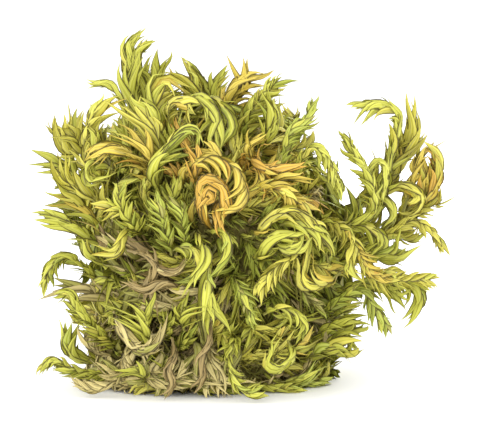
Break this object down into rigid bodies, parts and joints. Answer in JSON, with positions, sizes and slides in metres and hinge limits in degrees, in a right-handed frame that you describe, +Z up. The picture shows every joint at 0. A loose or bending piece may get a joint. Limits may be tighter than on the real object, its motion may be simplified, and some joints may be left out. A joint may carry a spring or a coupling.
{
  "type": "moss clump",
  "caption": "Shaggy clump of leafy green moss with golden shoots and a spray reaching out to one side, growing from a flat-cut cushion of old brown stems.",
  "frame": {"origin": "centre of the flat cut under the cushion", "axes": "+Z up, the way the shoots grow; +X to the side that the long spray reaches; -Y the front"},
  "size_m": [0.1068, 0.0797, 0.0906],
  "materials": {
    "green_leaf": "satin",
    "golden_leaf": "satin",
    "brown_stem": "matte",
    "old_stem_tangle": "matte"
  },
  "bodies": {
    "root": {"cushion_mat": "old_stem_tangle", "shoot_back_high_1": "green_leaf", "shoot_back_high_2": "green_leaf", "shoot_back_high_3": "green_leaf", "shoot_back_high_4": "green_leaf", "shoot_back_low_1": "green_leaf", "shoot_back_low_2": "green_leaf", "shoot_back_low_3": "green_leaf", "shoot_back_low_4": "green_leaf", "shoot_back_middle_1": "green_leaf", "shoot_back_middle_2": "green_leaf", "shoot_back_middle_3": "green_leaf", "shoot_back_middle_4": "green_leaf", "shoot_back_middle_5": "green_leaf", "shoot_crown_gold": "golden_leaf", "shoot_crown_green": "green_leaf", "shoot_crown_left": "green_leaf", "shoot_crown_middle": "green_leaf", "shoot_crown_right": "green_leaf", "shoot_front_arch": "green_leaf", "shoot_front_bottom": "green_leaf", "shoot_front_drooping": "green_leaf", "shoot_front_feather": "green_leaf", "shoot_front_right": "green_leaf", "shoot_front_rosette": "green_leaf", "shoot_front_twist": "green_leaf", "shoot_front_upright": "green_leaf", "shoot_golden_blade": "golden_leaf", "shoot_golden_curl": "golden_leaf", "shoot_golden_diagonal": "golden_leaf", "shoot_golden_long": "golden_leaf", "shoot_golden_sweep": "golden_leaf", "shoot_left_arch": "green_leaf", "shoot_left_fan_back": "green_leaf", "shoot_left_fan_far": "green_leaf", "shoot_left_fan_middle": "green_leaf", "shoot_left_fan_top": "green_leaf", "shoot_left_feather": "green_leaf", "shoot_left_tendril": "green_leaf", "shoot_left_upright": "green_leaf", "shoot_low_left_flat": "green_leaf", "shoot_low_left_trailing": "brown_stem", "shoot_low_left_upright": "green_leaf", "shoot_low_right_lower": "green_leaf", "shoot_low_right_upper": "green_leaf", "shoot_old_stem_curl": "brown_stem", "shoot_orange_frond": "golden_leaf", "shoot_plume_curl": "green_leaf", "shoot_plume_side": "green_leaf", "shoot_plume_tall": "green_leaf", "shoot_right_arch": "green_leaf", "shoot_right_frond": "green_leaf", "shoot_right_hanging": "green_leaf", "shoot_right_hook_low": "green_leaf", "shoot_right_upturned": "green_leaf", "shoot_spray_drooping": "green_leaf", "shoot_spray_far": "golden_leaf", "shoot_spray_feather": "green_leaf", "shoot_spray_hook": "green_leaf", "shoot_spray_spike": "green_leaf"}
  },
  "joints": []
}
